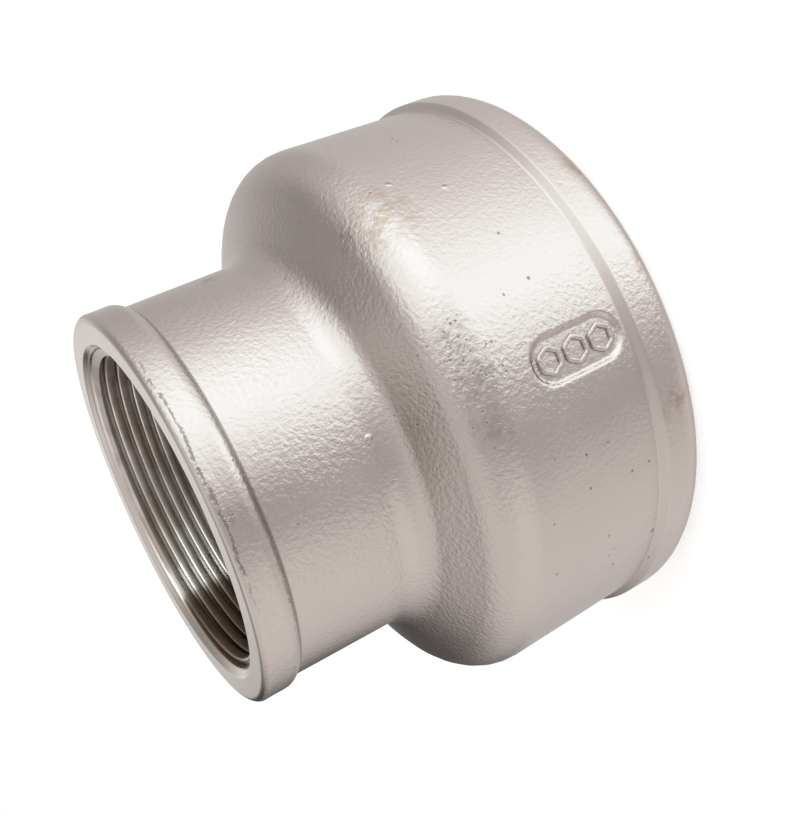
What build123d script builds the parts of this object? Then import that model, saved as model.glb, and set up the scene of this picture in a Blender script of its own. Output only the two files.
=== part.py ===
from build123d import *
from math import acos, cos, degrees, radians, sin, tan
import os

# Banded reducing coupling, one stainless casting with a threaded mouth at each end.
# It stands on its large end: the origin is the centre of the large face and +Z runs
# along the axis to the small face. Lengths are in millimetres, angles in degrees.

# Casting, outside
overall_length = 76.9
large_band_radius = 50.8
large_band_width = 8.4
large_edge_radius = 5.0
large_edge_turn = 70.0
large_edge_flats = 3
large_step_length = 1.1
barrel_radius = 49.6
barrel_length = 24.0
barrel_draft = 1.8
shoulder_radius = 8.6
shoulder_slope = 64.0
neck_fillet_radius = 5.8
neck_radius = 34.8
small_band_radius = 36.0
small_band_width = 7.2
small_band_back_radius = 2.6
small_face_bevel = 0.8

# Casting, inside
shoulder_wall = 7.0
core_barrel_radius = 41.8
passage_radius = 27.8

# Threaded mouths, bored to the crests of G 3 and G 2 parallel pipe thread
large_crest_radius = 42.463
large_thread_depth = 26.0
large_mouth_radius = 44.6
small_crest_radius = 28.328
small_thread_depth = 20.0
small_mouth_radius = 30.4
mouth_bevel = 0.7
countersink_length = 1.1

# Sunk panel on the barrel, a slot shape that runs along the axis
panel_length = 17.6
panel_width = 8.2
panel_depth = 0.6
panel_height = 19.0

# Heights of the main stations above the large face
large_step_top = large_band_width + large_step_length
barrel_top = large_step_top + barrel_length
barrel_top_radius = barrel_radius + barrel_length * tan(radians(barrel_draft))
small_band_foot = overall_length - small_band_width
small_thread_end = overall_length - small_thread_depth
thread_start = mouth_bevel + countersink_length


# Shoulder: corner arc, straight slope and lip arc, tangent to the barrel and the neck
corner_drop = shoulder_radius * (cos(radians(barrel_draft)) - cos(radians(shoulder_slope)))
lip_drop = neck_fillet_radius * (1 - cos(radians(shoulder_slope)))
slope_drop = barrel_top_radius - neck_radius - corner_drop - lip_drop
barrel_rise = (sin(radians(barrel_draft)), cos(radians(barrel_draft)))
corner = JernArc(
    (barrel_top_radius, barrel_top), barrel_rise, shoulder_radius, shoulder_slope + barrel_draft
)
slope = PolarLine(corner @ 1, slope_drop / sin(radians(shoulder_slope)), direction=corner % 1)
lip = JernArc(slope @ 1, slope % 1, neck_fillet_radius, -shoulder_slope)

# Core: a cone that runs along the slope one wall inside it, between barrel and passage
slope_middle = slope @ 0.5
core_reference_radius = slope_middle.X - shoulder_wall * cos(radians(shoulder_slope))
core_reference_height = slope_middle.Y - shoulder_wall * sin(radians(shoulder_slope))


def core_cone_height(radius):
    """Height of the core's cone where it has the given radius."""
    return core_reference_height + (core_reference_radius - radius) / tan(radians(shoulder_slope))


# Half section of the casting, x is the radius and y the height. The large band's rounded edge
# is drawn as narrow bevels, a tenth of a millimetre inside the true arc.
edge_turns = [large_edge_turn * (1 - i / large_edge_flats) for i in range(large_edge_flats + 1)]
large_edge = [
    (
        large_band_radius - large_edge_radius * (1 - cos(radians(turn))),
        large_edge_radius * (sin(radians(large_edge_turn)) - sin(radians(turn))),
    )
    for turn in edge_turns
]
back_turn = degrees(acos(1 - (small_band_radius - neck_radius) / small_band_back_radius))
back_start = (sin(radians(back_turn)), cos(radians(back_turn)))
band_back = JernArc(
    (neck_radius, small_band_foot), back_start, small_band_back_radius, back_turn
)
section = [
    Polyline(
        *large_edge,
        (large_band_radius, large_band_width),
        (barrel_radius, large_step_top),
        (barrel_top_radius, barrel_top),
    ),
    corner,
    slope,
    lip,
    Line(lip @ 1, band_back @ 0),
    band_back,
    Polyline(
        band_back @ 1,
        (small_band_radius, overall_length - small_face_bevel),
        (small_band_radius - small_face_bevel, overall_length),
        (small_mouth_radius + mouth_bevel, overall_length),
        (small_mouth_radius, overall_length - mouth_bevel),
        (small_crest_radius, overall_length - thread_start),
        (small_crest_radius, small_thread_end),
        (passage_radius, small_thread_end - (small_crest_radius - passage_radius)),
        (passage_radius, core_cone_height(passage_radius)),
        (core_barrel_radius, core_cone_height(core_barrel_radius)),
        (core_barrel_radius, large_thread_depth + large_crest_radius - core_barrel_radius),
        (large_crest_radius, large_thread_depth),
        (large_crest_radius, thread_start),
        (large_mouth_radius, mouth_bevel),
        (large_mouth_radius + mouth_bevel, 0),
        large_edge[0],
    ),
]
half_section = make_face(Curve() + section)
casting = revolve(Plane.XZ * half_section, Axis.Z)

# The panel is sunk into the front of the barrel, and its floor follows the barrel
panel_plane = Plane(origin=(0, 0, panel_height), x_dir=(0, 0, 1), z_dir=(0, -1, 0))
panel_outline = panel_plane * SlotOverall(panel_length, panel_width)
panel_floor_radius = (
    barrel_radius + (panel_height - large_step_top) * tan(radians(barrel_draft)) - panel_depth
)
panel_core = Pos(0, 0, panel_height) * Cylinder(panel_floor_radius, 2 * panel_length)
casting -= extrude(panel_outline, large_band_radius) - panel_core

casting.label = "coupling_body"
os.makedirs("parts", exist_ok=True)
export_step(casting, "parts/coupling_body.step")
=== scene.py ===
# %% [markdown]
# # A cast stainless reducing coupling
# The real thing is one investment casting, shot-blasted to a satin skin, then faced and threaded
# at both ends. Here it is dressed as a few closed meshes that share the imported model's frame: the
# casting, the two threads that a tap cuts in its mouths, and the raised marks in its panel.

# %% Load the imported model
import math

import bpy
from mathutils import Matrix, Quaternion, Vector, noise


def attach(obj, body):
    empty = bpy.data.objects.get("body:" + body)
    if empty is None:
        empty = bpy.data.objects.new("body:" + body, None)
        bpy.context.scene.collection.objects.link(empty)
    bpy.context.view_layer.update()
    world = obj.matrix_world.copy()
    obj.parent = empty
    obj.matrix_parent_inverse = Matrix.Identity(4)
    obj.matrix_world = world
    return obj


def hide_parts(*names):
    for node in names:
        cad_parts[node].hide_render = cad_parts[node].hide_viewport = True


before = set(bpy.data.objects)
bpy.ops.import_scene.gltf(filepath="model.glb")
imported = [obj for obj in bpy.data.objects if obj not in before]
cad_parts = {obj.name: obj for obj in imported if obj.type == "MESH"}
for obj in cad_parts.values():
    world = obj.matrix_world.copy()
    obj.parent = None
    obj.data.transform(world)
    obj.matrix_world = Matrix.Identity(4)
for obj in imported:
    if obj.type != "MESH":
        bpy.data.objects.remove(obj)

MM = 0.001
scene = bpy.context.scene
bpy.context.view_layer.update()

# %% [markdown]
# ## The camera
# The photograph is taken from about 20 cm with a normal lens, a little above the part, and the
# camera is rolled far over, so that the coupling seems to lie on its side. The part itself stands
# upright on its large face, so the roll belongs to the camera and not to the part.

# %% Place the camera
camera_place = Vector((15.99, -201.92, 113.10)) * MM
camera_target = Vector((-0.67, -3.53, 30.13)) * MM
camera_roll = math.radians(-115.14)

camera_data = bpy.data.cameras.new("photo_camera")
camera_data.sensor_fit = "HORIZONTAL"
camera_data.sensor_width = 36.0
camera_data.lens = 52.87
camera_data.clip_start = 0.01
camera_data.clip_end = 20.0
camera = bpy.data.objects.new("photo_camera", camera_data)
scene.collection.objects.link(camera)
scene.camera = camera
upright_look = (camera_target - camera_place).to_track_quat("-Z", "Y")
camera.rotation_mode = "QUATERNION"
camera.rotation_quaternion = upright_look @ Quaternion((0, 0, 1), camera_roll)
camera.location = camera_place
print("camera to the part's middle, mm:", round((camera_target - camera_place).length / MM))

# %% [markdown]
# ## Two helpers
# Colours are written as the hex values that a paint or a photo editor shows, and one function
# turns them to the linear values that Blender computes with. Every node tree, shader or geometry,
# is built by one function that adds a node, sets it and links it in a single call.

# %% Helpers for colours and nodes
def linear(hex_colour):
    """sRGB hex, such as "#bfb8b2", to linear red, green, blue and alpha."""
    parts = [int(hex_colour[i:i + 2], 16) / 255 for i in (1, 3, 5)]
    return [p / 12.92 if p <= 0.04045 else ((p + 0.055) / 1.055) ** 2.4 for p in parts] + [1.0]


def add(tree, kind, inputs=None, **settings):
    """Adds a node with its settings. An input is a value, a socket to link, or a node, which is
    linked from its first output in use."""
    node = tree.nodes.new(kind)
    for name, value in settings.items():
        setattr(node, name, value)
    for name, value in (inputs or {}).items():
        if isinstance(value, bpy.types.Node):
            value = next(socket for socket in value.outputs if socket.enabled)
        if isinstance(value, bpy.types.NodeSocket):
            tree.links.new(value, node.inputs[name])
        else:
            node.inputs[name].default_value = value
    return node


print("mid grey in linear light:", round(linear("#808080")[0], 3))

# %% [markdown]
# ## The section of the casting
# A casting that is round everywhere is best drawn as a half section and swept round its axis. The
# section is a list of corners, each with the radius that rounds it, exactly as a pattern maker
# dimensions it. Small roundings matter: a dead sharp edge catches no light.

# %% Sizes of the section, in millimetres
overall_length = 76.9
large_band_radius = 50.8
large_band_width = 8.4
large_edge_radius = 5.0
large_step_length = 1.1
barrel_radius = 49.6
barrel_length = 24.0
barrel_draft = math.radians(1.8)
shoulder_radius = 8.6
shoulder_slope = math.radians(64.0)
neck_fillet_radius = 5.8
neck_radius = 34.8
small_band_radius = 36.0
small_band_width = 7.2
small_band_back_radius = 2.6
face_bevel = 0.8
shoulder_wall = 7.0
core_barrel_radius = 41.8
passage_radius = 27.8
mouth_bevel = 0.7
countersink_length = 1.1

# G 3 and G 2 parallel pipe thread, 11 to the inch
thread_pitch = 25.4 / 11
thread_depth = 0.640327 * thread_pitch
thread_rounding = 0.137329 * thread_pitch
large_crest_radius = 42.463
large_bore_depth = 26.0
large_mouth_radius = 44.6
small_crest_radius = 28.328
small_bore_depth = 20.0
small_mouth_radius = 30.4
print("thread depth, mm:", round(thread_depth, 3))

# %% [markdown]
# The shoulder is a straight slope with a large arc at each end. Its two corners are where the
# slope's line meets the barrel's and the neck's. The core inside runs one wall away from it.

# %% Heights and turns that follow from the sizes
step_top = large_band_width + large_step_length
barrel_top = step_top + barrel_length
barrel_top_radius = barrel_radius + barrel_length * math.tan(barrel_draft)
corner_reach = shoulder_radius * math.tan((shoulder_slope + barrel_draft) / 2)
shoulder_corner = (
    barrel_top_radius + corner_reach * math.sin(barrel_draft),
    barrel_top + corner_reach * math.cos(barrel_draft),
)


def slope_height(radius):
    """Height of the shoulder's slope where it has the given radius."""
    return shoulder_corner[1] + (shoulder_corner[0] - radius) / math.tan(shoulder_slope)


def core_height(radius):
    """Height of the core's cone where it has the given radius."""
    return slope_height(radius) - shoulder_wall / math.sin(shoulder_slope)


edge_turn = math.radians(70)
edge_drop = large_edge_radius * (1 - math.cos(edge_turn))
edge_corner = large_edge_radius * math.tan(edge_turn / 2) * math.cos(edge_turn)
back_turn = math.acos(1 - (small_band_radius - neck_radius) / small_band_back_radius)
back_reach = small_band_back_radius * math.tan(back_turn / 2)
band_foot = overall_length - small_band_width
back_corner = band_foot + back_reach * math.sin(back_turn) / math.tan(back_turn / 2) - back_reach
print("shoulder corner, mm:", [round(v, 2) for v in shoulder_corner])

# %% [markdown]
# Under each thread the bore is as wide as the thread's root, and the tooth is a piece of its own.
# The root begins a little inside the countersink and ends a run-out short of the bore's end.

# %% Corners of the section
small_root_radius = small_crest_radius + thread_depth
large_root_radius = large_crest_radius + thread_depth
run_out = 1.5 * thread_pitch


def countersink_depth(radius, mouth_radius, crest_radius):
    """Depth of a mouth's countersink where it has the given radius."""
    share = (mouth_radius - radius) / (mouth_radius - crest_radius)
    return mouth_bevel + countersink_length * share


small_root_start = countersink_depth(small_root_radius, small_mouth_radius, small_crest_radius)
large_root_start = countersink_depth(large_root_radius, large_mouth_radius, large_crest_radius)
CAST, TURNED, TAPPED = 0, 1, 2

# Each corner is radius, height, rounding and the finish of the stretch that follows it
section_corners = [
    (large_band_radius - edge_drop, 0, 0.3, CAST),
    (large_band_radius, edge_corner, large_edge_radius, CAST),
    (large_band_radius, large_band_width, 0.3, CAST),
    (barrel_radius, step_top, 0.4, CAST),
    (*shoulder_corner, shoulder_radius, CAST),
    (neck_radius, slope_height(neck_radius), neck_fillet_radius, CAST),
    (neck_radius, band_foot, 0.15, CAST),
    (small_band_radius, back_corner, small_band_back_radius, CAST),
    (small_band_radius, overall_length - face_bevel, 1.2, CAST),
    (small_band_radius - face_bevel, overall_length, 1.2, TURNED),
    (small_mouth_radius + mouth_bevel, overall_length, 0.3, TURNED),
    (small_mouth_radius, overall_length - mouth_bevel, 0.1, TURNED),
    (small_root_radius, overall_length - small_root_start, 0.0, TAPPED),
    (small_root_radius, overall_length - small_bore_depth + run_out, 0.3, TAPPED),
    (small_crest_radius, overall_length - small_bore_depth, 0.2, TURNED),
    (passage_radius, overall_length - small_bore_depth - small_crest_radius + passage_radius,
     0.3, CAST),
    (passage_radius, core_height(passage_radius), 3.0, CAST),
    (core_barrel_radius, core_height(core_barrel_radius), 2.0, CAST),
    (core_barrel_radius, large_bore_depth + large_crest_radius - core_barrel_radius, 0.3, TURNED),
    (large_crest_radius, large_bore_depth, 0.2, TAPPED),
    (large_root_radius, large_bore_depth - run_out, 0.3, TAPPED),
    (large_root_radius, large_root_start, 0.0, TURNED),
    (large_mouth_radius, mouth_bevel, 0.1, TURNED),
    (large_mouth_radius + mouth_bevel, 0, 0.3, TURNED),
]
print("section corners:", len(section_corners))

# %% [markdown]
# Between its corners the section is divided finely enough to carry a slow unevenness, and beside
# every rounding it gets one close station, so that smooth shading doesn't spread into the flats.

# %% Divide the section into stations
arc_step = math.radians(13)
flat_step = 1.6
guard = 0.25
panel_step = 0.27


def arc_points(before, corner, after, rounding):
    """Points of the arc that rounds a corner, or the corner itself where it stays sharp."""
    if rounding == 0:
        return [corner]
    into = (before - corner).normalized()
    out = (after - corner).normalized()
    opening = into.angle(out)
    turn = math.pi - opening
    reach = rounding / math.tan(opening / 2)
    centre = corner + (into + out).normalized() * (rounding / math.sin(opening / 2))
    start = corner + into * reach - centre
    side = 1 if into.cross(out) < 0 else -1
    steps = max(2, math.ceil(turn / arc_step))
    points = []
    for i in range(steps + 1):
        a = side * turn * i / steps
        points.append(centre + Vector((
            start.x * math.cos(a) - start.y * math.sin(a),
            start.x * math.sin(a) + start.y * math.cos(a),
        )))
    return points


def flat_points(start, end, step):
    """Points between two ends, with one close to each end."""
    length = (end - start).length
    if length < 3 * guard:
        return []
    along = (end - start) / length
    count = max(1, math.ceil((length - 2 * guard) / step))
    spots = [guard + (length - 2 * guard) * i / count for i in range(count + 1)]
    return [start + along * spot for spot in spots]


corner_places = [Vector(c[:2]) for c in section_corners]
arcs = [
    arc_points(corner_places[i - 1], corner_places[i],
               corner_places[(i + 1) % len(corner_places)], section_corners[i][2])
    for i in range(len(corner_places))
]
stations = []
for i, arc in enumerate(arcs):
    finish = section_corners[i][3]
    next_start = arcs[(i + 1) % len(arcs)][0]
    on_barrel = section_corners[i][:2] == (barrel_radius, step_top)
    flat = flat_points(arc[-1], next_start, panel_step if on_barrel else flat_step)
    stations += [(*p, finish) for p in arc + flat]
print("stations round the section:", len(stations))

# %% [markdown]
# ## The finish of the casting
# Stainless poured in a ceramic shell and blasted with fine shot has a satin skin, like orange
# peel, with cells under a millimetre wide. It is bare metal, so its colour is in its reflections:
# a warm grey, rough enough to blur them and bumpy enough to break their edges into sparkle.
# Two noises, one for the peel and one for the shot marks, drive the bump, and slow noises vary the
# colour and the gloss as pickling leaves them. The worn places of this one part are listed one by
# one: pits and nicks from handling, painted shade in a corner, brown stains on the wide band, and
# the ragged dark line where the facing cut ran into the rough skin.

# %% Sizes of the skin and its worn places
peel_cell = 0.80 * MM
peel_depth = 0.09 * MM
peel_depth_spread = 0.05 * MM
rough_peel_depth = 0.045 * MM
shot_cell = 0.32 * MM
shot_depth = 0.014 * MM
pit_cell = 0.8 * MM
pit_jitter = 0.35 * MM
stray_pit_share = 0.003
worn_pit_share = 0.5
dent_depth = 0.14 * MM
cloud_size = 14 * MM
plain_step_height = large_band_width + 0.6
# Height of the painted shade, a dark line in the corner under the small band
corner_shade_height = band_foot + 0.1

# Worn places: x, y, z and reach in millimetres
pitted_places = [
    (3.5, -49.6, 36.3, 6.5), (9.5, -48.8, 37.2, 4.5), (-5.0, -49.4, 36.5, 4.5),
    (28.5, -36.2, 41.1, 2.5), (32.9, -11.0, 56.0, 2.5), (-2.0, -35.9, 74.0, 2.5),
]
rough_places = [(3.0, -49.6, 36.0, 10.0), (-6.0, -49.5, 27.0, 10.0), (-1.0, -34.8, 57.0, 9.0)]
single_pits = [
    (12.6, -48.3, 21.2, 0.4), (20.7, -45.4, 21.3, 0.35), (-21.8, -44.7, 15.1, 0.4),
    (-34.6, -35.5, 10.2, 0.5), (-36.8, -33.6, 18.7, 0.4), (-15.5, -47.5, 23.3, 0.4),
]
stained_places = [
    (25.4, -42.2, 1.1, 5.0), (-15.0, -48.5, 5.4, 4.0), (8.0, -49.5, 2.0, 4.0),
    (30.0, -40.0, 36.0, 8.0),
]
nicked_places = [(-0.2, -34.8, 50.0, 0.8), (34.4, -36.6, 30.9, 0.6), (30.7, -39.5, 23.5, 0.6)]
print("worn places:", sum(len(places) for places in (
    pitted_places, rough_places, single_pits, stained_places, nicked_places)))

# %% [markdown]
# Wear, grime, painted shade and a painted glint are laid on through masks, which are 1 where they
# show and 0 elsewhere. A mask comes from the distance to a place, from a compass direction, from a
# height or from a noise.

# %% The start of a material, and masks for wear and grime
full_share = 0.3


def start_material(name):
    """A material with an empty tree, and the place on the piece in its own coordinates."""
    material = bpy.data.materials.new(name)
    material.use_nodes = True
    tree = material.node_tree
    tree.nodes.clear()
    return material, tree, add(tree, "ShaderNodeTexCoord").outputs["Object"]


def near_places(tree, place, places):
    """1 in the inner share of any of the places and 0 beyond their reach."""
    nearest = 0.0
    for x, y, z, reach in places:
        away = add(tree, "ShaderNodeVectorMath", {
            0: place, 1: (x * MM, y * MM, z * MM),
        }, operation="DISTANCE")
        here = add(tree, "ShaderNodeMapRange", {
            "Value": away, "From Min": reach * MM, "From Max": full_share * reach * MM,
        }, interpolation_type="SMOOTHSTEP")
        nearest = add(tree, "ShaderNodeMath", {0: nearest, 1: here}, operation="MAXIMUM")
    return nearest


def toward_azimuth(tree, place, azimuth, full, none):
    """1 within the angle full of a compass direction and 0 beyond the angle none, in degrees."""
    a = math.radians(azimuth)
    level = add(tree, "ShaderNodeVectorMath", {0: place, 1: (1.0, 1.0, 0.0)}, operation="MULTIPLY")
    outward = add(tree, "ShaderNodeVectorMath", {0: level}, operation="NORMALIZE")
    cosine = add(tree, "ShaderNodeVectorMath", {
        0: outward, 1: (math.cos(a), math.sin(a), 0.0),
    }, operation="DOT_PRODUCT")
    return add(tree, "ShaderNodeMapRange", {
        "Value": cosine,
        "From Min": math.cos(math.radians(none)), "From Max": math.cos(math.radians(full)),
    }, interpolation_type="SMOOTHSTEP")


def off_level(tree, value, level, none, full):
    """0 where a value is off a level by none, 1 where it is off by full, and a soft step between."""
    difference = add(tree, "ShaderNodeMath", {0: value, 1: level}, operation="SUBTRACT")
    off = add(tree, "ShaderNodeMath", {0: difference}, operation="ABSOLUTE")
    return add(tree, "ShaderNodeMapRange", {
        "Value": off, "From Min": none, "From Max": full,
    }, interpolation_type="SMOOTHSTEP")


def patches(tree, place, cell, low, high, detail=1.5):
    """Soft patches of the given size: 0 where their noise is below low and 1 above high."""
    cloud = add(tree, "ShaderNodeTexNoise", {
        "Vector": place, "Scale": 1 / cell, "Detail": detail, "Roughness": 0.55,
    })
    return add(tree, "ShaderNodeMapRange", {
        "Value": cloud, "From Min": low, "From Max": high,
    }, interpolation_type="SMOOTHSTEP")


def layered_colour(tree, base, layers):
    """A base colour with others laid over it, each as far as its own mask says."""
    colour = linear(base)
    for mask, over in layers:
        colour = add(tree, "ShaderNodeMix", {"Factor": mask, "A": colour, "B": linear(over)},
                     data_type="RGBA")
    return colour


print("masks:", [mask.__name__ for mask in (near_places, toward_azimuth, off_level, patches)])

# %% [markdown]
# The facing cut ran into the rough skin of the small band and left a dark broken line just behind
# the face. Pits are dots in a few cells of a pattern, in more of them where the skin is worn.

# %% The ragged edge and the pits
def ragged_edge(tree, place, height):
    """Dark broken line behind the small face, which wanders and tears."""
    off = add(tree, "ShaderNodeMath", {0: overall_length * MM, 1: height}, operation="SUBTRACT")
    for cell, reach in ((5 * MM, 1.3 * MM), (0.6 * MM, 0.9 * MM)):
        wander = add(tree, "ShaderNodeTexNoise", {
            "Vector": place, "Scale": 1 / cell, "Detail": 1.5, "Roughness": 0.55,
        })
        off = add(tree, "ShaderNodeMath", {0: wander, 1: -reach, 2: off},
                  operation="MULTIPLY_ADD")
    line = off_level(tree, off, 0.0, 0.36 * MM, 0.06 * MM)
    for mask in (toward_azimuth(tree, place, -80, 24, 41),
                 patches(tree, place, 2.2 * MM, 0.34, 0.50)):
        line = add(tree, "ShaderNodeMath", {0: line, 1: mask}, operation="MULTIPLY")
    return line


def skin_pits(tree, place, height, worn):
    """Scattered pits, the ragged edge and the single pits."""
    jitter = add(tree, "ShaderNodeTexNoise", {"Vector": place, "Scale": 1 / shot_cell})
    torn = add(tree, "ShaderNodeVectorMath", {
        0: jitter.outputs["Color"], 1: [pit_jitter] * 3, 2: place,
    }, operation="MULTIPLY_ADD")
    cells = add(tree, "ShaderNodeTexVoronoi", {"Vector": torn, "Scale": 1 / pit_cell}).outputs
    chance = add(tree, "ShaderNodeSeparateColor", {0: cells["Color"]})
    share = add(tree, "ShaderNodeMath", {0: worn, 1: worn_pit_share, 2: stray_pit_share},
                operation="MULTIPLY_ADD")
    chosen = add(tree, "ShaderNodeMath", {0: chance, 1: share}, operation="LESS_THAN")
    dots = add(tree, "ShaderNodeMapRange", {
        "Value": cells["Distance"], "From Min": 0.40, "From Max": 0.12,
    }, interpolation_type="SMOOTHSTEP")
    pits = add(tree, "ShaderNodeMath", {0: dots, 1: chosen}, operation="MULTIPLY")
    for more in (ragged_edge(tree, place, height), near_places(tree, place, single_pits)):
        pits = add(tree, "ShaderNodeMath", {0: pits, 1: more}, operation="MAXIMUM")
    return pits


print("plain skin has a pit in about one cell of", round(1 / stray_pit_share))

# %% [markdown]
# The corner under the small band is darkened as painted shade, and grime collects in the pits
# and smudges the worn skin. The relief is three bumps, each on top of the one before: the peel,
# the shot marks and the dents.

# %% Grime, painted corner shade and relief of the skin
def skin_grime_and_corner_shade(tree, place, height, worn, pits):
    """Painted shade in the corner under the small band, and grime in the pits and in smudges on worn
    skin.
    """
    # Painted shade: the corner under the small band is darkened like the shade in a narrow groove
    corner = off_level(tree, height, corner_shade_height * MM, 0.40 * MM, 0.08 * MM)
    smudge = add(tree, "ShaderNodeMath", {
        0: worn, 1: patches(tree, place, 1.8 * MM, 0.4, 0.7),
    }, operation="MULTIPLY")
    grime_and_corner_shade = 0.0
    for mask, strength in ((corner, 0.5), (pits, 0.6), (smudge, 0.3)):
        part = add(tree, "ShaderNodeMath", {0: mask, 1: strength}, operation="MULTIPLY")
        grime_and_corner_shade = add(tree, "ShaderNodeMath", {0: grime_and_corner_shade, 1: part}, operation="MAXIMUM")
    return grime_and_corner_shade


def skin_relief(tree, place, height, cloud, pits):
    """Normal of the skin with its peel, shot marks, nicks and pits."""
    # The peel is deeper in some clouds and places than in others, and fades on the large step
    clouded = add(tree, "ShaderNodeMapRange", {
        "Value": cloud, "From Min": 0.3, "From Max": 0.7,
    }, interpolation_type="SMOOTHSTEP")
    deep = add(tree, "ShaderNodeMath", {0: clouded, 1: peel_depth_spread, 2: peel_depth},
               operation="MULTIPLY_ADD")
    deep = add(tree, "ShaderNodeMath", {
        0: near_places(tree, place, rough_places), 1: rough_peel_depth, 2: deep,
    }, operation="MULTIPLY_ADD")
    off_step = off_level(tree, height, plain_step_height * MM, 0.3 * MM, 1.6 * MM)
    peel = add(tree, "ShaderNodeTexNoise", {
        "Vector": place, "Scale": 1 / peel_cell, "Detail": 2.0, "Roughness": 0.55,
    })
    peel_bump = add(tree, "ShaderNodeBump", {
        "Height": peel, "Strength": 1.0,
        "Distance": add(tree, "ShaderNodeMath", {0: deep, 1: off_step}, operation="MULTIPLY"),
    })
    shot = add(tree, "ShaderNodeTexNoise", {
        "Vector": place, "Scale": 1 / shot_cell, "Detail": 1.0, "Roughness": 0.55,
    })
    shot_bump = add(tree, "ShaderNodeBump", {
        "Height": shot, "Strength": 1.0, "Distance": shot_depth, "Normal": peel_bump,
    })
    dents = add(tree, "ShaderNodeMath", {
        0: pits, 1: -0.4, 2: near_places(tree, place, nicked_places),
    }, operation="MULTIPLY_ADD")
    return add(tree, "ShaderNodeBump", {
        "Height": dents, "Strength": 1.0, "Distance": dent_depth, "Normal": shot_bump,
    })


print("the peel fades at the large step, mm:", plain_step_height)

# %% [markdown]
# The base metal is one warm grey, which the clouds make a little lighter, and stains, grime and
# the painted corner shade are laid over it. The gloss varies with the clouds and is lost in the
# grime and the corner shade.

# %% Shot-blasted cast stainless
def blasted_cast_stainless():
    """Satin investment-cast skin: soft reflections that break into sparkle."""
    material, tree, place = start_material("blasted_cast_stainless")
    height = add(tree, "ShaderNodeSeparateXYZ", {0: place}).outputs["Z"]
    cloud = add(tree, "ShaderNodeTexNoise", {
        "Vector": place, "Scale": 1 / cloud_size, "Detail": 3.0, "Roughness": 0.55,
    })
    worn = near_places(tree, place, pitted_places)
    pits = skin_pits(tree, place, height, worn)
    # Grime in the pits and smudges, together with painted shade in the corner under the small band
    grime_and_corner_shade = skin_grime_and_corner_shade(tree, place, height, worn, pits)
    stain = add(tree, "ShaderNodeMath", {
        0: near_places(tree, place, stained_places),
        1: patches(tree, place, 2.5 * MM, 0.40, 0.65, detail=3.0),
    }, operation="MULTIPLY")
    brown = add(tree, "ShaderNodeMath", {0: stain, 1: 0.55}, operation="MULTIPLY")
    gloss = add(tree, "ShaderNodeMath", {0: cloud, 1: 0.09, 2: 0.25}, operation="MULTIPLY_ADD")
    surface = add(tree, "ShaderNodeBsdfPrincipled", {
        "Base Color": layered_colour(tree, "#b5aca8", [
            (cloud, "#bdb4b0"), (brown, "#9c8672"), (grime_and_corner_shade, "#4d4643"),
        ]),
        "Metallic": 1.0,
        "Roughness": add(tree, "ShaderNodeMath", {0: grime_and_corner_shade, 1: 0.25, 2: gloss},
                         operation="MULTIPLY_ADD"),
        "Normal": skin_relief(tree, place, height, cloud, pits),
    })
    add(tree, "ShaderNodeOutputMaterial", {"Surface": surface})
    return material


cast_finish = blasted_cast_stainless()
print("finish:", cast_finish.name, "with", len(cast_finish.node_tree.nodes), "nodes")

# %% [markdown]
# ## The finishes of the cut metal
# The end faces and the countersinks are turned on a lathe. The tool leaves a fine spiral of
# grooves, about seven to the millimetre, so the metal is brighter and smoother than the skin. A
# tap tears the threads, so they are duller. Painted shade darkens and browns one side of them,
# and a painted glint lightens one narrow band.

# %% Turned and tapped stainless
tool_feed = 0.15 * MM


def turned_stainless():
    """Bright machined metal with the fine rings of the lathe tool."""
    material, tree, place = start_material("turned_stainless")
    # At scale 1 the wave texture repeats every 2 pi / 20, and its second output is the plain wave
    rings = add(tree, "ShaderNodeTexWave", {
        "Vector": place, "Scale": 2 * math.pi / (20 * tool_feed), "Distortion": 0.0,
    }, wave_type="RINGS", rings_direction="Z").outputs[1]
    ring_bump = add(tree, "ShaderNodeBump", {
        "Height": rings, "Strength": 1.0, "Distance": 0.002 * MM,
    })
    cloud = add(tree, "ShaderNodeTexNoise", {
        "Vector": place, "Scale": 1 / cloud_size, "Detail": 2.0,
    })
    gloss = add(tree, "ShaderNodeMapRange", {"Value": cloud, "To Min": 0.16, "To Max": 0.26})
    surface = add(tree, "ShaderNodeBsdfPrincipled", {
        "Base Color": linear("#c3bcb6"), "Metallic": 1.0, "Roughness": gloss,
        "Normal": ring_bump,
    })
    add(tree, "ShaderNodeOutputMaterial", {"Surface": surface})
    return material


def tapped_stainless():
    """Metal torn by the tap: duller than the faces, with painted shade on one side and a painted
    glint in one narrow band.
    """
    material, tree, place = start_material("tapped_stainless")
    oily = patches(tree, place, 9 * MM, 0.35, 0.65, detail=3.0)
    # Painted shade darkens and browns the threads towards one compass side, and a painted glint
    # lightens a narrow band towards another
    painted_shade_side = toward_azimuth(tree, place, 158, 22, 38)
    painted_glint_band = toward_azimuth(tree, place, 122, 1, 8)
    surface = add(tree, "ShaderNodeBsdfPrincipled", {
        "Base Color": layered_colour(tree, "#ded8d4", [
            (oily, "#c2b7ae"), (painted_shade_side, "#7b6a5c"), (painted_glint_band, "#f0ece8"),
        ]),
        "Metallic": 1.0,
        "Roughness": add(tree, "ShaderNodeMath", {0: painted_glint_band, 1: -0.10, 2: 0.35},
                         operation="MULTIPLY_ADD"),
    })
    add(tree, "ShaderNodeOutputMaterial", {"Surface": surface})
    return material


turned_finish = turned_stainless()
tapped_finish = tapped_stainless()
print("finishes:", turned_finish.name, tapped_finish.name)

# %% [markdown]
# ## Sweep the section round the axis
# The sweep's columns lie close together at the front, where the sunk panel needs them, and wider
# apart elsewhere. The panel is pressed into the barrel by its distance from a slot shape, with a
# wall that slopes over three quarters of a millimetre, as cast edges do. A slow noise makes the
# skin slightly uneven. It only ever takes metal away, so the piece stays inside the packed
# model's box.

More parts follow.
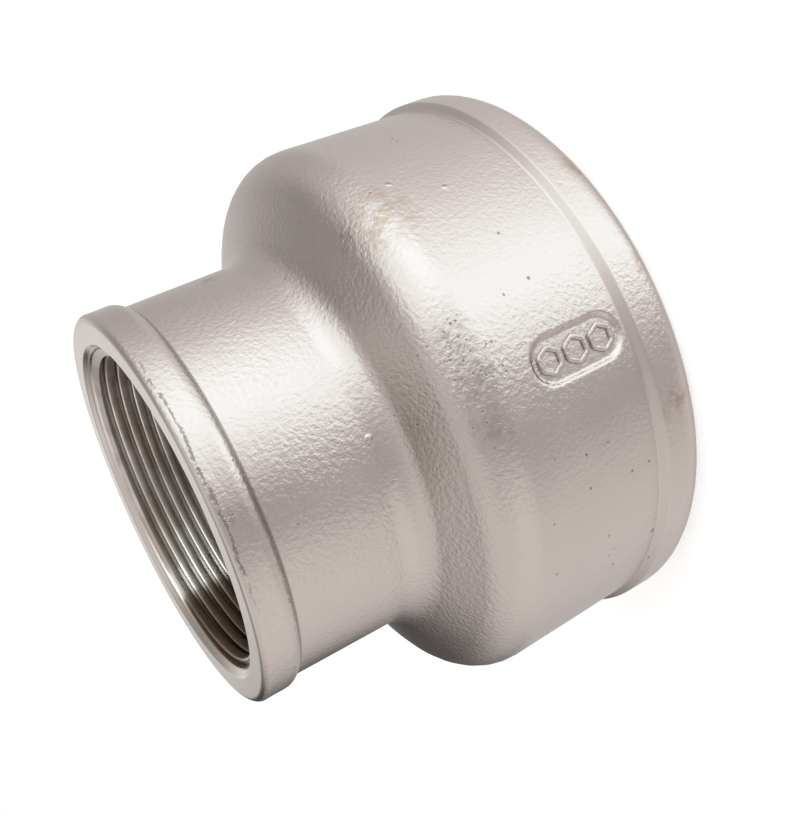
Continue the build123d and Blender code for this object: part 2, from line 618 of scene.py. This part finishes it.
# %% Columns round the axis
panel_height = 19.0
panel_length = 17.6
panel_width = 8.2
panel_depth = 0.6
panel_wall = 0.75
panel_margin = 1.2
panel_angle = math.radians(-90)
column_step = math.radians(1.4)
panel_reach = (panel_width / 2 + panel_margin) / barrel_radius
panel_columns = math.ceil(2 * panel_reach * barrel_radius / panel_step)
wide_columns = math.ceil((2 * math.pi - 2 * panel_reach) / column_step)
columns = [
    panel_angle - panel_reach + 2 * panel_reach * i / panel_columns for i in range(panel_columns)
] + [
    panel_angle + panel_reach + (2 * math.pi - 2 * panel_reach) * i / wide_columns
    for i in range(wide_columns)
]
print("columns round the axis:", len(columns))

# %% Panel and unevenness
wave_depth = 0.10
long_wave = 11.0
short_wave = 4.5
skin_start = 0.3
skin_end = overall_length - 1.0
skin_fade = 1.5
skin_radius = neck_radius - 0.5


def smooth_step(x):
    """0 below 0, 1 above 1 and a soft ramp between."""
    x = min(1.0, max(0.0, x))
    return x * x * (3 - 2 * x)


def panel_sink(around, height):
    """Depth of the sunk panel at a distance round the barrel and a height, in millimetres."""
    half_straight = (panel_length - panel_width) / 2
    past_end = max(0.0, abs(height - panel_height) - half_straight)
    inside = panel_width / 2 - math.hypot(around, past_end)
    return panel_depth * smooth_step(inside / panel_wall)


def unevenness(place):
    """Slow waves of the cast skin, 0 to 1."""
    return 0.5 + 0.35 * noise.noise(place / long_wave) + 0.15 * noise.noise(place / short_wave)


def skin_share(radius, height):
    """1 on the cast skin outside, fading to 0 at the turned ends and inside."""
    if radius < skin_radius:
        return 0.0
    return smooth_step((height - skin_start) / skin_fade) * smooth_step(
        (skin_end - height) / skin_fade)


print("panel depth at its middle, mm:", panel_sink(0, panel_height))

# %% Build the casting
vertices = []
for angle in columns:
    for radius, height, finish in stations:
        away = radius
        if finish == CAST and skin_share(radius, height) > 0:
            spot = Vector((radius * math.cos(angle), radius * math.sin(angle), height))
            away -= wave_depth * unevenness(spot) * skin_share(radius, height)
            if barrel_radius - 0.2 < radius and step_top < height < barrel_top:
                turn = (angle - panel_angle + math.pi) % (2 * math.pi) - math.pi
                away -= panel_sink(turn * barrel_radius, height)
        vertices.append(Vector((away * math.cos(angle), away * math.sin(angle), height)) * MM)

faces = []
face_finish = []
count = len(stations)
for c in range(len(columns)):
    d = (c + 1) % len(columns)
    for s in range(count):
        t = (s + 1) % count
        faces.append((c * count + s, d * count + s, d * count + t, c * count + t))
        face_finish.append(stations[s][2])


def make_piece(name, points, polygons, materials, choice=None):
    """A smooth mesh object at the origin, with its place in its vertices."""
    mesh = bpy.data.meshes.new(name)
    mesh.from_pydata([tuple(p) for p in points], [], polygons)
    for material in materials:
        mesh.materials.append(material)
    mesh.polygons.foreach_set("use_smooth", [True] * len(mesh.polygons))
    if choice:
        mesh.polygons.foreach_set("material_index", choice)
    mesh.validate()
    piece = bpy.data.objects.new(name, mesh)
    scene.collection.objects.link(piece)
    return piece


casting = make_piece("casting", vertices, faces, [cast_finish, turned_finish, tapped_finish],
                     face_finish)
print("casting triangles:", 2 * len(casting.data.polygons))

# %% [markdown]
# ## The pipe threads
# A thread is one tooth swept along a helix, which is what Geometry Nodes are good at: a spiral, a
# trapezium with rounded corners for the tooth, and Curve to Mesh. The mouth's countersink then
# trims the first turn, as the real tool does, by a Boolean with a cone.

# %% Start, end and run a geometry group
def start_group(name, kinds):
    """A geometry group with one named input for each kind of value, and its inputs' sockets."""
    tree = bpy.data.node_groups.new(name, "GeometryNodeTree")
    tree.interface.new_socket("Geometry", in_out="OUTPUT", socket_type="NodeSocketGeometry")
    for label, kind in kinds.items():
        tree.interface.new_socket(label, in_out="INPUT", socket_type="NodeSocket" + kind)
    return tree, add(tree, "NodeGroupInput").outputs


def end_group(tree, geometry, metal):
    """Ends a group with real geometry that wears its metal."""
    real = add(tree, "GeometryNodeRealizeInstances", {"Geometry": geometry})
    coated = add(tree, "GeometryNodeSetMaterial", {"Geometry": real, "Material": metal})
    add(tree, "NodeGroupOutput", {"Geometry": coated})
    print(tree.name, "inputs:", [socket.name for socket in tree.interface.items_tree][1:])
    return tree


def run_group(name, group, values):
    """Runs a geometry group on an empty mesh and keeps the result as a plain mesh."""
    piece = bpy.data.objects.new(name, bpy.data.meshes.new(name))
    scene.collection.objects.link(piece)
    modifier = piece.modifiers.new(group.name, "NODES")
    modifier.node_group = group
    for socket in group.interface.items_tree:
        if socket.name in values:
            modifier[socket.identifier] = values[socket.name]
    bpy.context.view_layer.update()
    evaluated = piece.evaluated_get(bpy.context.evaluated_depsgraph_get())
    mesh = bpy.data.meshes.new_from_object(evaluated)
    piece.modifiers.clear()
    piece.data = mesh
    mesh.name = name
    mesh.shade_smooth()
    mesh.set_sharp_from_angle(angle=math.radians(40))
    return piece


# %% Geometry Nodes for one thread
flank_angle = math.radians(27.5)


def thread_tree():
    """Group with named inputs that makes one right-hand internal thread."""
    tree, given = start_group("pipe_thread", {
        "Crest Radius": "Float", "Pitch": "Float", "Tooth Depth": "Float", "Rounding": "Float",
        "Turns": "Float", "Base Height": "Float", "Root Overlap": "Float",
        "Steps per Turn": "Int", "Trim": "Object", "Metal": "Material",
    })
    tooth_height = add(tree, "ShaderNodeMath", {0: given["Tooth Depth"], 1: given["Root Overlap"]},
                       operation="ADD")
    middle = add(tree, "ShaderNodeMath", {0: tooth_height, 1: 0.5, 2: given["Crest Radius"]},
                 operation="MULTIPLY_ADD")
    crest_width = add(tree, "ShaderNodeMath", {0: given["Pitch"], 1: 6.0}, operation="DIVIDE")
    root_width = add(tree, "ShaderNodeMath", {
        0: tooth_height, 1: 2 * math.tan(flank_angle), 2: crest_width,
    }, operation="MULTIPLY_ADD")
    rise = add(tree, "ShaderNodeMath", {0: given["Turns"], 1: given["Pitch"]},
               operation="MULTIPLY")
    spiral = add(tree, "GeometryNodeCurveSpiral", {
        "Resolution": given["Steps per Turn"], "Rotations": given["Turns"],
        "Start Radius": middle, "End Radius": middle, "Height": rise,
    })
    upright = add(tree, "GeometryNodeSetCurveNormal", {"Curve": spiral}, mode="Z_UP")
    tooth = add(tree, "GeometryNodeCurvePrimitiveQuadrilateral", {
        "Bottom Width": root_width, "Top Width": crest_width, "Height": tooth_height,
        "Offset": 0.0,
    }, mode="TRAPEZOID")
    rounded = add(tree, "GeometryNodeFilletCurve", {
        "Curve": tooth, "Count": 4, "Radius": given["Rounding"], "Limit Radius": True,
    }, mode="POLY")
    turned = add(tree, "GeometryNodeTransform", {
        "Geometry": rounded, "Rotation": (0.0, 0.0, math.radians(90)),
    })
    swept = add(tree, "GeometryNodeCurveToMesh", {
        "Curve": upright, "Profile Curve": turned, "Fill Caps": True,
    })
    placed = add(tree, "GeometryNodeTransform", {
        "Geometry": swept,
        "Translation": add(tree, "ShaderNodeCombineXYZ", {"Z": given["Base Height"]}),
    })
    cutter = add(tree, "GeometryNodeObjectInfo", {"Object": given["Trim"]})
    trimmed = add(tree, "GeometryNodeMeshBoolean", {
        "Mesh 1": placed, "Mesh 2": cutter.outputs["Geometry"],
    }, operation="DIFFERENCE", solver="EXACT")
    return end_group(tree, trimmed, given["Metal"])


thread_group = thread_tree()

# %% [markdown]
# The cutter that trims a thread has the shape of the mouth: the countersink's cone and the open
# air in front of it. It is made only for the Boolean and is removed afterwards.

# %% Make both threads
steps_per_turn = 180
root_overlap = 0.25
cutter_sides = 180
open_air = 12.0


def mouth_cutter(face_height, inward, mouth_radius, crest_radius):
    """Closed cone and cylinder that fill a mouth. inward is -1 at the top end and 1 at the foot."""
    reach = countersink_length * 2
    slope = (mouth_radius - crest_radius) / countersink_length
    face_radius = mouth_radius + slope * mouth_bevel
    outline = [
        (mouth_radius - slope * reach, mouth_bevel + reach), (face_radius, 0.0),
        (face_radius, -open_air),
    ]
    points, polygons = [], []
    for i in range(cutter_sides):
        a = 2 * math.pi * i / cutter_sides
        for radius, depth in outline:
            points.append(Vector((
                radius * math.cos(a), radius * math.sin(a), face_height + inward * depth,
            )) * MM)
    for i in range(cutter_sides):
        j = (i + 1) % cutter_sides
        for k in range(2):
            polygons.append((3 * i + k, 3 * j + k, 3 * j + k + 1, 3 * i + k + 1))
    polygons.append(tuple(3 * i for i in reversed(range(cutter_sides))))
    polygons.append(tuple(3 * i + 2 for i in range(cutter_sides)))
    if inward > 0:
        polygons = [tuple(reversed(p)) for p in polygons]
    return make_piece("mouth_cutter", points, polygons, [])


def make_thread(name, crest_radius, turns, base_height, trim):
    """One thread as a plain mesh, trimmed by the mouth's cutter."""
    return run_group(name, thread_group, {
        "Crest Radius": crest_radius * MM, "Pitch": thread_pitch * MM,
        "Tooth Depth": thread_depth * MM, "Rounding": thread_rounding * MM, "Turns": turns,
        "Base Height": base_height * MM, "Root Overlap": root_overlap * MM,
        "Steps per Turn": steps_per_turn, "Trim": trim, "Metal": tapped_finish,
    })


# The lead is how far a thread is swept past its face before the cutter trims it
small_turns = 8.0
small_lead = 0.93
large_turns = 11.0
large_lead = 0.4
small_cutter = mouth_cutter(overall_length, -1, small_mouth_radius, small_crest_radius)
large_cutter = mouth_cutter(0.0, 1, large_mouth_radius, large_crest_radius)
small_thread = make_thread(
    "small_thread", small_crest_radius, small_turns,
    overall_length + small_lead - small_turns * thread_pitch, small_cutter,
)
large_thread = make_thread("large_thread", large_crest_radius, large_turns, -large_lead,
                           large_cutter)
for cutter in (small_cutter, large_cutter):
    bpy.data.objects.remove(cutter)
for thread in (small_thread, large_thread):
    heights = [v.co.z / MM for v in thread.data.vertices]
    print(thread.name, "runs from", round(min(heights), 2), "to", round(max(heights), 2), "mm,",
          len(thread.data.polygons), "faces")

# %% [markdown]
# ## The raised marks in the panel
# A casting carries its marks as raised strokes in a sunk panel, so that they neither wear off nor
# stand proud. Here they are three plain six-sided rings. Geometry Nodes make one ring, a rounded
# square swept round a rounded hexagon, and set copies of it on a line that follows the barrel.

# %% Geometry Nodes for a row of raised rings
def ring_row_tree():
    """Group with named inputs that makes a row of raised six-sided rings."""
    tree, given = start_group("ring_row", {
        "Ring Radius": "Float", "Stroke": "Float", "Corner Radius": "Float", "Tilt": "Float",
        "First Place": "Vector", "Step": "Vector", "Count": "Int", "Metal": "Material",
    })
    hexagon = add(tree, "GeometryNodeCurvePrimitiveCircle", {
        "Resolution": 6, "Radius": given["Ring Radius"],
    }, mode="RADIUS")
    path = add(tree, "GeometryNodeFilletCurve", {
        "Curve": hexagon, "Count": 4, "Radius": given["Corner Radius"], "Limit Radius": True,
    }, mode="POLY")
    square = add(tree, "GeometryNodeCurvePrimitiveQuadrilateral", {
        "Width": given["Stroke"], "Height": given["Stroke"],
    }, mode="RECTANGLE")
    edge = add(tree, "ShaderNodeMath", {0: given["Stroke"], 1: 0.32}, operation="MULTIPLY")
    stroke = add(tree, "GeometryNodeFilletCurve", {
        "Curve": square, "Count": 4, "Radius": edge, "Limit Radius": True,
    }, mode="POLY")
    ring = add(tree, "GeometryNodeCurveToMesh", {"Curve": path, "Profile Curve": stroke})
    tilted = add(tree, "GeometryNodeTransform", {
        "Geometry": ring, "Rotation": add(tree, "ShaderNodeCombineXYZ", {"X": given["Tilt"]}),
    })
    row = add(tree, "GeometryNodeMeshLine", {
        "Count": given["Count"], "Start Location": given["First Place"], "Offset": given["Step"],
    }, mode="OFFSET")
    copies = add(tree, "GeometryNodeInstanceOnPoints", {"Points": row, "Instance": tilted})
    return end_group(tree, copies, given["Metal"])


ring_count = 3
ring_spacing = 5.0
ring_radius = 2.1
ring_stroke = 0.85
ring_corner_radius = 0.5
first_height = panel_height - ring_spacing * (ring_count - 1) / 2
panel_floor = barrel_radius + (first_height - step_top) * math.tan(barrel_draft) - panel_depth
raised_rings = run_group("raised_rings", ring_row_tree(), {
    "Ring Radius": ring_radius * MM, "Stroke": ring_stroke * MM,
    "Corner Radius": ring_corner_radius * MM,
    "Tilt": math.radians(90) + barrel_draft, "Count": ring_count,
    "First Place": (0.0, -panel_floor * MM, first_height * MM),
    "Step": (0.0, -ring_spacing * math.tan(barrel_draft) * MM, ring_spacing * MM),
    "Metal": cast_finish,
})
print("raised rings:", len(raised_rings.data.polygons), "faces")

# %% [markdown]
# ## The floor
# The floor is white paper that keeps the part's shadow. The camera sees it a little brighter than
# it is lit, so that it meets the white background without an edge. In reflections only the paper
# under the part's hollow counts. The rest lets the studio's lower half through, because the wall
# of an upright part would otherwise show nothing but floor.

# %% Floor
hollow_radius = 44.0 * MM
camera_lift = 0.50
floor_size = 6.0
floor_drop = 0.02 * MM


def white_paper():
    """Matt white paper that reflections see only inside the part's foot."""
    material, tree, place = start_material("white_paper")
    path = add(tree, "ShaderNodeLightPath").outputs
    lift = add(tree, "ShaderNodeMath", {0: path["Is Camera Ray"], 1: camera_lift},
               operation="MULTIPLY")
    paper = add(tree, "ShaderNodeBsdfDiffuse", {"Color": linear("#efefee")})
    glow = add(tree, "ShaderNodeEmission", {"Color": linear("#ffffff"), "Strength": lift})
    reach = add(tree, "ShaderNodeVectorMath", {0: place}, operation="LENGTH")
    outer = add(tree, "ShaderNodeMath", {0: reach, 1: hollow_radius}, operation="GREATER_THAN")
    surface = add(tree, "ShaderNodeMixShader", {
        0: add(tree, "ShaderNodeMath", {0: outer, 1: path["Is Glossy Ray"]},
               operation="MULTIPLY"),
        1: add(tree, "ShaderNodeAddShader", {0: paper, 1: glow}),
        2: add(tree, "ShaderNodeBsdfTransparent"),
    })
    add(tree, "ShaderNodeOutputMaterial", {"Surface": surface})
    return material


floor = make_piece(
    "floor",
    [Vector((x, y, -floor_drop)) for x, y in (
        (-floor_size, -floor_size), (floor_size, -floor_size),
        (floor_size, floor_size), (-floor_size, floor_size),
    )],
    [(0, 1, 2, 3)], [white_paper()],
)
print("floor side, m:", 2 * floor_size)

# %% [markdown]
# ## The studio
# Bright metal is as light or dark as what it mirrors, so the studio is as much a part of its look
# as the finish is. Here the world is that studio. The camera sees plain white, and matt things are
# lit evenly. Reflections see a room that changes with the compass direction: a tall cool softbox
# on one flank, the darker gap where the photographer stands, white boards elsewhere and a grey
# wall at the far side. Three colour ramps round the compass hold its lower, middle and upper part.

# %% Levels of the studio round the compass
# Azimuth in degrees and level, where 1 is plain white and 2 the softbox
lower_studio = [
    (-180, 1.08), (-150, 1.02), (-132, 0.76), (-118, 0.64), (-105, 0.82), (-95, 1.00),
    (-85, 1.66), (-74, 2.24), (-62, 2.32), (-45, 2.16), (-28, 1.76), (-12, 1.33), (5, 1.09),
    (35, 0.90), (65, 0.74), (95, 0.88), (122, 0.66), (142, 0.80), (165, 1.07),
]
upper_studio = [
    (-180, 1.16), (-142, 1.20), (-130, 1.08), (-118, 0.64), (-104, 0.54), (-92, 0.79),
    (-78, 1.18), (-64, 1.94), (-50, 2.36), (-35, 2.42), (-20, 2.12), (-5, 1.28), (10, 0.88),
    (32, 0.70), (58, 0.68), (78, 0.84), (91, 1.06), (98, 0.92), (104, 0.72), (110, 0.08),
    (124, 0.03), (134, 0.36), (146, 0.76), (160, 1.00),
]
high_studio = [
    (-180, 1.12), (-150, 1.06), (-132, 0.86), (-118, 0.68), (-105, 0.66), (-92, 0.76),
    (-80, 0.98), (-66, 1.64), (-54, 2.15), (-38, 1.95), (-22, 1.95), (-8, 1.45), (5, 0.92),
    (25, 0.52), (48, 0.42), (70, 0.58), (92, 0.66), (115, 0.42), (128, 0.52), (140, 0.80),
    (155, 1.05),
]
top_level = 2.6
ceiling_level = 0.92
matt_level = 0.7


def studio_ramp(tree, compass, stops):
    """Levels round the compass. compass runs from 0 to 1 for azimuth -180 to 180 degrees."""
    node = add(tree, "ShaderNodeValToRGB", {"Fac": compass})
    elements = node.color_ramp.elements
    elements[0].position = 0.0
    elements[-1].position = 1.0
    for azimuth, level in stops[1:]:
        elements.new((azimuth + 180) / 360).color = [level / top_level] * 3 + [1.0]
    elements[0].color = elements[-1].color = [stops[0][1] / top_level] * 3 + [1.0]
    return node


print("studio stops:", len(lower_studio), len(upper_studio), len(high_studio))

# %% Studio for reflections
world = bpy.data.worlds.new("studio")
scene.world = world
world.use_nodes = True
world.cycles.sampling_method = "NONE"
sky = world.node_tree
sky.nodes.clear()
direction = add(sky, "ShaderNodeSeparateXYZ", {
    0: add(sky, "ShaderNodeTexCoord").outputs["Generated"],
}).outputs
azimuth = add(sky, "ShaderNodeMath", {0: direction["Y"], 1: direction["X"]}, operation="ARCTAN2")
compass = add(sky, "ShaderNodeMapRange", {
    "Value": azimuth, "From Min": -math.pi, "From Max": math.pi,
})

# Each part of the room takes over from the one below it as the direction's Z goes from the
# first number to the second
room = studio_ramp(sky, compass, lower_studio)
for low, high, part in (
    (-0.42, -0.24, studio_ramp(sky, compass, upper_studio)),
    (0.25, 0.52, studio_ramp(sky, compass, high_studio)),
    (0.85, 0.96, [ceiling_level / top_level] * 3 + [1.0]),
):
    above = add(sky, "ShaderNodeMapRange", {
        "Value": direction["Z"], "From Min": low, "From Max": high,
    }, interpolation_type="SMOOTHSTEP")
    room = add(sky, "ShaderNodeMix", {"Factor": above, "A": room, "B": part}, data_type="RGBA")

# The brightest parts are a little cool and the darker ones a little warm
bright = add(sky, "ShaderNodeMapRange", {
    "Value": add(sky, "ShaderNodeRGBToBW", {0: room}), "From Min": 0.4, "From Max": 0.9,
}, interpolation_type="SMOOTHSTEP")
tint = add(sky, "ShaderNodeMix", {
    "Factor": bright, "A": linear("#fffbf9"), "B": linear("#f2fdff"),
}, data_type="RGBA")
lit = add(sky, "ShaderNodeMix", {"Factor": 1.0, "A": room, "B": tint},
          data_type="RGBA", blend_type="MULTIPLY")
path = add(sky, "ShaderNodeLightPath").outputs
seen = add(sky, "ShaderNodeMath", {0: path["Is Camera Ray"], 1: path["Is Transmission Ray"]},
           operation="MAXIMUM")
matt_or_white = add(sky, "ShaderNodeMixShader", {
    0: seen,
    1: add(sky, "ShaderNodeBackground", {"Color": linear("#ffffff"), "Strength": matt_level}),
    2: add(sky, "ShaderNodeBackground", {"Color": linear("#ffffff"), "Strength": 1.0}),
})
studio = add(sky, "ShaderNodeMixShader", {
    0: path["Is Glossy Ray"], 1: matt_or_white,
    2: add(sky, "ShaderNodeBackground", {"Color": lit, "Strength": top_level}),
})
add(sky, "ShaderNodeOutputWorld", {"Surface": studio})
scene.view_settings.view_transform = "Standard"
print("studio:", len(sky.nodes), "nodes")

# %% [markdown]
# ## The lamp
# One soft lamp hangs in front of the softbox that the reflections show and throws the faint shadow
# on the paper. Reflections leave it out, because the studio already holds its image.

# %% Key lamp
lamp_azimuth = math.radians(-42)
lamp_elevation = math.radians(24)
lamp_distance = 0.8
lamp_width = 0.36
lamp_height = 0.50
lamp_radiance = 1.7

lamp_data = bpy.data.lights.new("key_softbox", "AREA")
lamp_data.shape = "RECTANGLE"
lamp_data.size = lamp_width
lamp_data.size_y = lamp_height
lamp_data.energy = lamp_radiance * math.pi * lamp_width * lamp_height
lamp = bpy.data.objects.new("key_softbox", lamp_data)
scene.collection.objects.link(lamp)
toward_lamp = Vector((
    math.cos(lamp_elevation) * math.cos(lamp_azimuth),
    math.cos(lamp_elevation) * math.sin(lamp_azimuth),
    math.sin(lamp_elevation),
))
lamp.location = Vector((0, 0, overall_length / 2 * MM)) + lamp_distance * toward_lamp
lamp.rotation_mode = "QUATERNION"
lamp.rotation_quaternion = (-toward_lamp).to_track_quat("-Z", "Y")
lamp.visible_glossy = False
print("lamp power, W:", round(lamp_data.energy, 2))

# %% [markdown]
# ## Hand over
# Each piece rides on the one body and stands for the imported solid.

for piece in (casting, small_thread, large_thread, raised_rings):
    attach(piece, "root")
    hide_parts("coupling_body")
